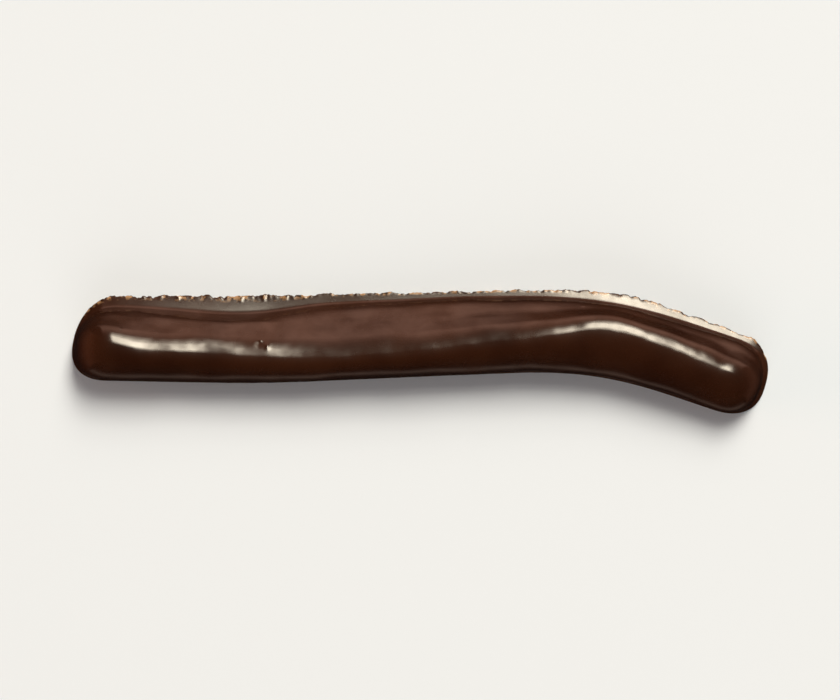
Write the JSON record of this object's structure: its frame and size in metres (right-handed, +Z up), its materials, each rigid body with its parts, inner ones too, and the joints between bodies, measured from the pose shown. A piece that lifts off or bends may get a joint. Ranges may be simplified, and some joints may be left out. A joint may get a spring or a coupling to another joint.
{
  "type": "orangette",
  "caption": "Long, gently bent strip of candied peel in a dark chocolate coat, with a steep back, a round shoulder and a thin ragged foot on its flat underside.",
  "frame": {"origin": "centre of the bounding box at the flat underside that the strip set on", "axes": "+X along the strip towards its bent end, +Y across it towards the ragged foot, +Z up"},
  "size_m": [0.0802, 0.0144, 0.0071],
  "materials": {
    "dark_chocolate": "tempered dark chocolate, softly glossy, a little uneven"
  },
  "bodies": {
    "root": {"orangette": "dark_chocolate"}
  },
  "joints": []
}
